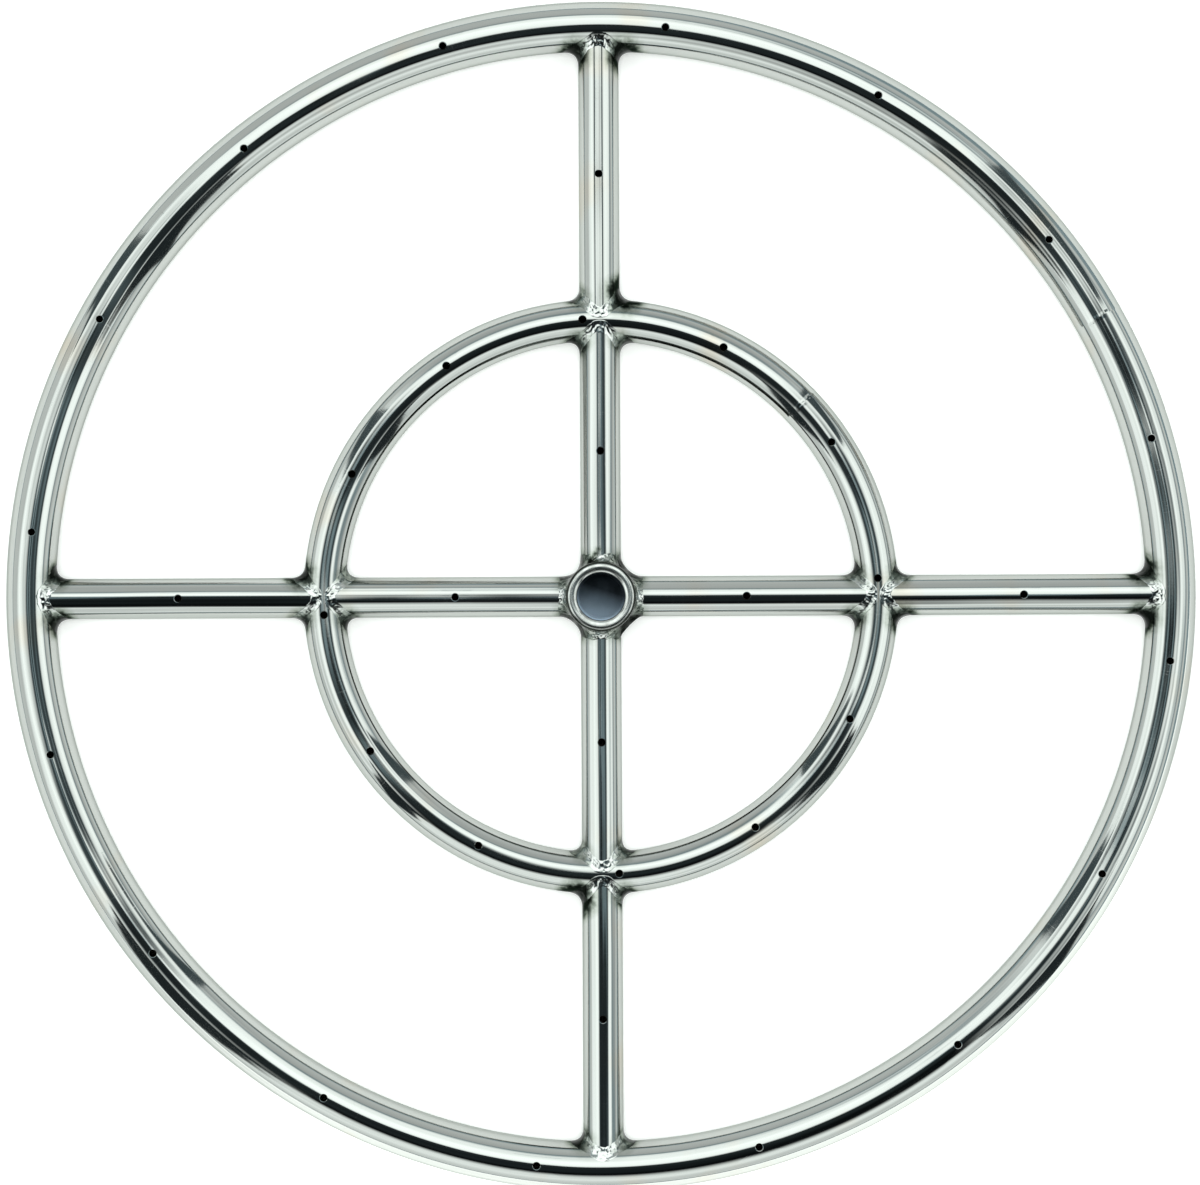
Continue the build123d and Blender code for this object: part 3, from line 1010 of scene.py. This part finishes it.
plugWeld = {
    "leg": 1.3 * mm, "stations": 220, "across": 9, "softBelow": 40, "sunk": 0.1 * mm,
    "ripple": 1.1 * mm, "rippleHeight": 0.08 * mm, "lean": 0.7, "scale": 0.5, "edgeScale": 0.3,
}
shape = newShape()
rows = []
for k in range(plugWeld["stations"]):
    turn = fullTurn * k / plugWeld["stations"]
    row = []
    for q in range(plugWeld["across"] + 2):
        t = min(q / plugWeld["across"], 1)
        phase = turn * chamberRadius / plugWeld["ripple"] + 2 * t * (1 - t)
        phase -= floor(phase)
        lift = plugWeld["rippleHeight"] * 4 * phase * (1 - phase) * 4 * t * (1 - t)
        radius = chamberRadius - plugWeld["leg"] * (1 - t) - plugWeld["lean"] * lift
        height = plugLow.z - plugWeld["leg"] * t - plugWeld["lean"] * lift
        if q > plugWeld["across"]:
            radius, height = chamberRadius + plugWeld["sunk"], plugLow.z + plugWeld["sunk"]
        scale = plugWeld["scale"] + plugWeld["edgeScale"] * abs(2 * t - 1)
        row.append(addPoint(shape, roundPoint(radius, turn, height), scale=scale))
    rows.append(row)
skinRows(shape, rows, (0, 3, 2, 1))
makePiece(shape, "hub_end_plug_bead", [weldSteel], "hub_end_plug_weld", plugWeld["softBelow"])
print("plug weld made")


# studio: backlit white board, overhead camera, soft lamp, and bright walls round a dark opening above

studio = {
    "imageWidth": 1200, "imageHeight": 1185, "pixelsPerMetre": 2601, "ringCentre": (600.9, 596.5),
    "cameraHeight": 1.6, "sensor": 36, "roll": -0.28,
    "floorSize": 16.0, "floor": "#f3f4f2", "floorRoughness": 0.9, "backlight": 0.33,
    # the board's emission is raised in front of the burner, a painted pool of light, which washes out the
    # lower edge of its outer ring
    "frontLight": 0.85, "frontWay": (0.26, -0.97, 0), "frontFrom": 0.13, "frontTo": 0.19,
    "lampSize": 0.8, "lampPlace": (0.0, 0.0, 2.6), "lampRadiance": 12.0,
}
look = studio

camera = bpy.data.cameras.new("camera")
cameraObject = addObject("camera", camera)
camera.sensor_width = look["sensor"]
camera.lens = look["sensor"] * look["cameraHeight"] * look["pixelsPerMetre"] / look["imageWidth"]
cameraObject.location = ((look["imageWidth"] / 2 - look["ringCentre"][0]) / look["pixelsPerMetre"],
                         (look["ringCentre"][1] - look["imageHeight"] / 2) / look["pixelsPerMetre"],
                         axisHeight + look["cameraHeight"])
cameraObject.rotation_euler = (0, 0, radians(look["roll"]))
bpy.context.scene.camera = cameraObject

# matt white board, lit from behind, so it stays white right up to the tubes
board = newMaterial("backlit_white_board")
spread = addNode(board, "TexCoord").outputs["Object"]
# painted pool of light: the glow is raised over a band in front of the outer ring
ahead = addNode(board, "VectorMath", spread, look["frontWay"], operation="DOT_PRODUCT")
inFront = addNode(board, "MapRange", ahead, look["frontFrom"], look["frontTo"])
reach = addNode(board, "VectorMath", spread, operation="LENGTH")
outside = addNode(board, "MapRange", reach, outerRingRadius, outerHigh.x)
frontPart = addNode(board, "Math", inFront, outside, operation="MULTIPLY")
backlight = addNode(board, "Math", frontPart, look["frontLight"], look["backlight"], operation="MULTIPLY_ADD")
shader = addNode(board, "BsdfPrincipled", Base_Color=look["floor"], Roughness=look["floorRoughness"],
                 Emission_Color=look["floor"], Emission_Strength=backlight)
addNode(board, "OutputMaterial", Surface=shader)

half = look["floorSize"] / 2
floorCorners = [(x, y, cadLow.z) for x, y in ((-half, -half), (half, -half), (half, half), (-half, half))]
floorMesh = bpy.data.meshes.new("floor")
floorMesh.from_pydata(floorCorners, [], [(0, 1, 2, 3)])
floorMesh.materials.append(board)
floorSheet = addObject("floor", floorMesh)

# soft lamp over the board; it lights it and stays out of the reflections, which show the walls of the studio
light = bpy.data.lights.new("lamp_over", "AREA")
light.size = look["lampSize"]
light.energy = look["lampRadiance"] * pi * look["lampSize"] ** 2
lamp = addObject("lamp_over", light)
lamp.location = look["lampPlace"]
lamp.visible_glossy = False

# walls: from straight up, each side goes from the dark opening to a bright panel, a gap under it and a wall
# with a glow down to the horizon; angles are in degrees
walls = {
    "strength": 2.4, "over": 0.03, "tint": "#f4fbf9", "darkTint": "#cbe9f2", "tintFrom": 0.7,
    "glowFrom": 78, "glowTo": 80.5, "horizonFrom": 84, "overEnds": 8, "turn": (0.35, 0.65),
    "narrow": {"from": 10, "to": 20, "over": 2.4, "below": 1.15},  # the opening overhead is narrow
    "sides": {
        "north": {"dark": 0.05, "starts": 4, "soft": 7, "level": 2.35, "ends": 43, "gap": 0.5,
                  "wall": 0.74, "glow": 0.95, "horizon": 0.6},
        "south": {"dark": 0.008, "starts": 44, "soft": 15, "level": 1.75, "ends": 68, "gap": 1.15,
                  "wall": 1.25, "glow": 1.45, "horizon": 0.4},
        "east": {"dark": 0.1, "starts": 30, "soft": 9, "level": 2.15, "ends": 60, "gap": 0.5,
                 "wall": 0.75, "glow": 1.2, "horizon": 0.6},
        "west": {"dark": 0.1, "starts": 25, "soft": 12, "level": 2.2, "ends": 60, "gap": 1.0,
                 "wall": 1.12, "glow": 1.0, "horizon": 0.65},
    },
    # dark gaps run down the corners: square against the north panel, and narrowing to a point in the south
    "corners": {"northEast": 45.5, "northWest": 38.0, "northReach": 16, "southEast": 39.5, "southWest": 43.0,
                "southReach": 13, "top": 40, "foot": 46, "drop": 44, "soft": 2.5},
    "cornerLevels": (0.04, 0.14), "point": 1.6, "thin": 0.1,  # levels in the south and in the north
}
world = bpy.data.worlds.new("studio_walls")
bpy.context.scene.world = world
world.use_nodes = True
world.node_tree.nodes.clear()
direction = addNode(world, "TexCoord").outputs["Generated"]
east, north, up = addNode(world, "SeparateXYZ", direction).outputs
fromTop = addNode(world, "Math", up, operation="ARCCOSINE")
ways = (east, north)
across, along = (addNode(world, "Math", way, operation="ABSOLUTE") for way in ways)
eastward, northward = (addNode(world, "Math", way, 0.0, operation="GREATER_THAN") for way in ways)
place = addNode(world, "Math", fromTop, pi / 2, operation="DIVIDE")
shades = {}
for name, look in walls["sides"].items():
    dark, level, edge = look["dark"], look["level"], look["soft"] / 2
    starts, ends = look["starts"], look["ends"]
    levels = [(0, walls["over"])]
    if starts > walls["overEnds"]:
        levels += [(walls["overEnds"], 6 * dark), (0.6 * starts, dark)]
    levels += [(max(starts - edge, 1), 1.5 * dark), (starts + edge, 0.8 * level),
               ((starts + ends) / 2, level), (ends - 4, 0.8 * level), (ends + 2, look["gap"]),
               (ends + 8, look["wall"]), (walls["glowFrom"], look["glow"]), (walls["glowTo"], look["glow"]),
               (walls["horizonFrom"], look["horizon"]), (90, look["horizon"])]
    shades[name] = addNode(world, "ValToRGB", Fac=place)
    setRamp(shades[name], [(angle / 90, walls["tint" if level > walls["tintFrom"] else "darkTint"])
                           for angle, level in levels])
    for element, (angle, level) in zip(shades[name].color_ramp.elements, levels):
        element.color = [level / walls["strength"] * v for v in element.color[:3]] + [1.0]
crosswise = addNode(world, "Mix", eastward, data_type="RGBA", at6=shades["west"], at7=shades["east"])
lengthwise = addNode(world, "Mix", northward, data_type="RGBA", at6=shades["south"], at7=shades["north"])
look = walls["narrow"]
widen = addNode(world, "MapRange", fromTop, radians(look["from"]), radians(look["to"]), look["over"],
                look["below"])
shifted = addNode(world, "Math", along, widen, operation="MULTIPLY")
both = addNode(world, "Math", across, shifted, operation="ADD")
share = addNode(world, "Math", shifted, both, operation="DIVIDE")
blend = addNode(world, "MapRange", share, *walls["turn"], interpolation_type="SMOOTHSTEP")
sky = addNode(world, "Mix", blend, data_type="RGBA", at6=crosswise, at7=lengthwise)

look = {key: radians(angle) for key, angle in walls["corners"].items()}
bearing = addNode(world, "Math", along, across, operation="ARCTAN2")
northEnd = addNode(world, "Mix", eastward, data_type="FLOAT", at2=look["northWest"], at3=look["northEast"])
beforeNorth = addNode(world, "Math", northEnd, bearing, operation="SUBTRACT")
northRun = addNode(world, "MapRange", beforeNorth, look["northReach"], 0.0)
northStop = addNode(world, "Math", beforeNorth, 0.0, operation="GREATER_THAN")
northGap = addNode(world, "Math", northRun, northStop, operation="MULTIPLY")
southMiddle = addNode(world, "Mix", eastward, data_type="FLOAT", at2=look["southWest"], at3=look["southEast"])
offSouth = addNode(world, "Math", bearing, southMiddle, operation="SUBTRACT")
besideSouth = addNode(world, "Math", offSouth, operation="ABSOLUTE")
southRun = addNode(world, "MapRange", besideSouth, look["southReach"], 0.0)
southGap = addNode(world, "Math", southRun, walls["point"], operation="POWER")
gapRun = addNode(world, "Mix", northward, data_type="FLOAT", at2=southGap, at3=northGap)
gapFoot = addNode(world, "Math", gapRun, look["drop"], look["foot"], operation="MULTIPLY_ADD")
overFoot = addNode(world, "Math", gapFoot, fromTop, operation="SUBTRACT")
footEdge = addNode(world, "MapRange", overFoot, -look["soft"], look["soft"])
topEdge = addNode(world, "MapRange", fromTop, look["top"] - look["soft"], look["top"] + look["soft"])
gapThere = addNode(world, "MapRange", gapRun, at2=walls["thin"])
gapTall = addNode(world, "Math", footEdge, topEdge, operation="MULTIPLY")
gap = addNode(world, "Math", gapTall, gapThere, operation="MULTIPLY")
darkTint = hexLinear(walls["darkTint"])
levels = [level / walls["strength"] for level in walls["cornerLevels"]]
southShade, northShade = ([level * v for v in darkTint] for level in levels)
gapShade = addNode(world, "Mix", northward, data_type="RGBA", at6=southShade, at7=northShade)
room = addNode(world, "Mix", gap, data_type="RGBA", at6=sky, at7=gapShade)
background = addNode(world, "Background", Color=room, Strength=walls["strength"])
addNode(world, "OutputWorld", Surface=background)
bpy.context.scene.view_settings.view_transform = "Standard"
print("studio made")
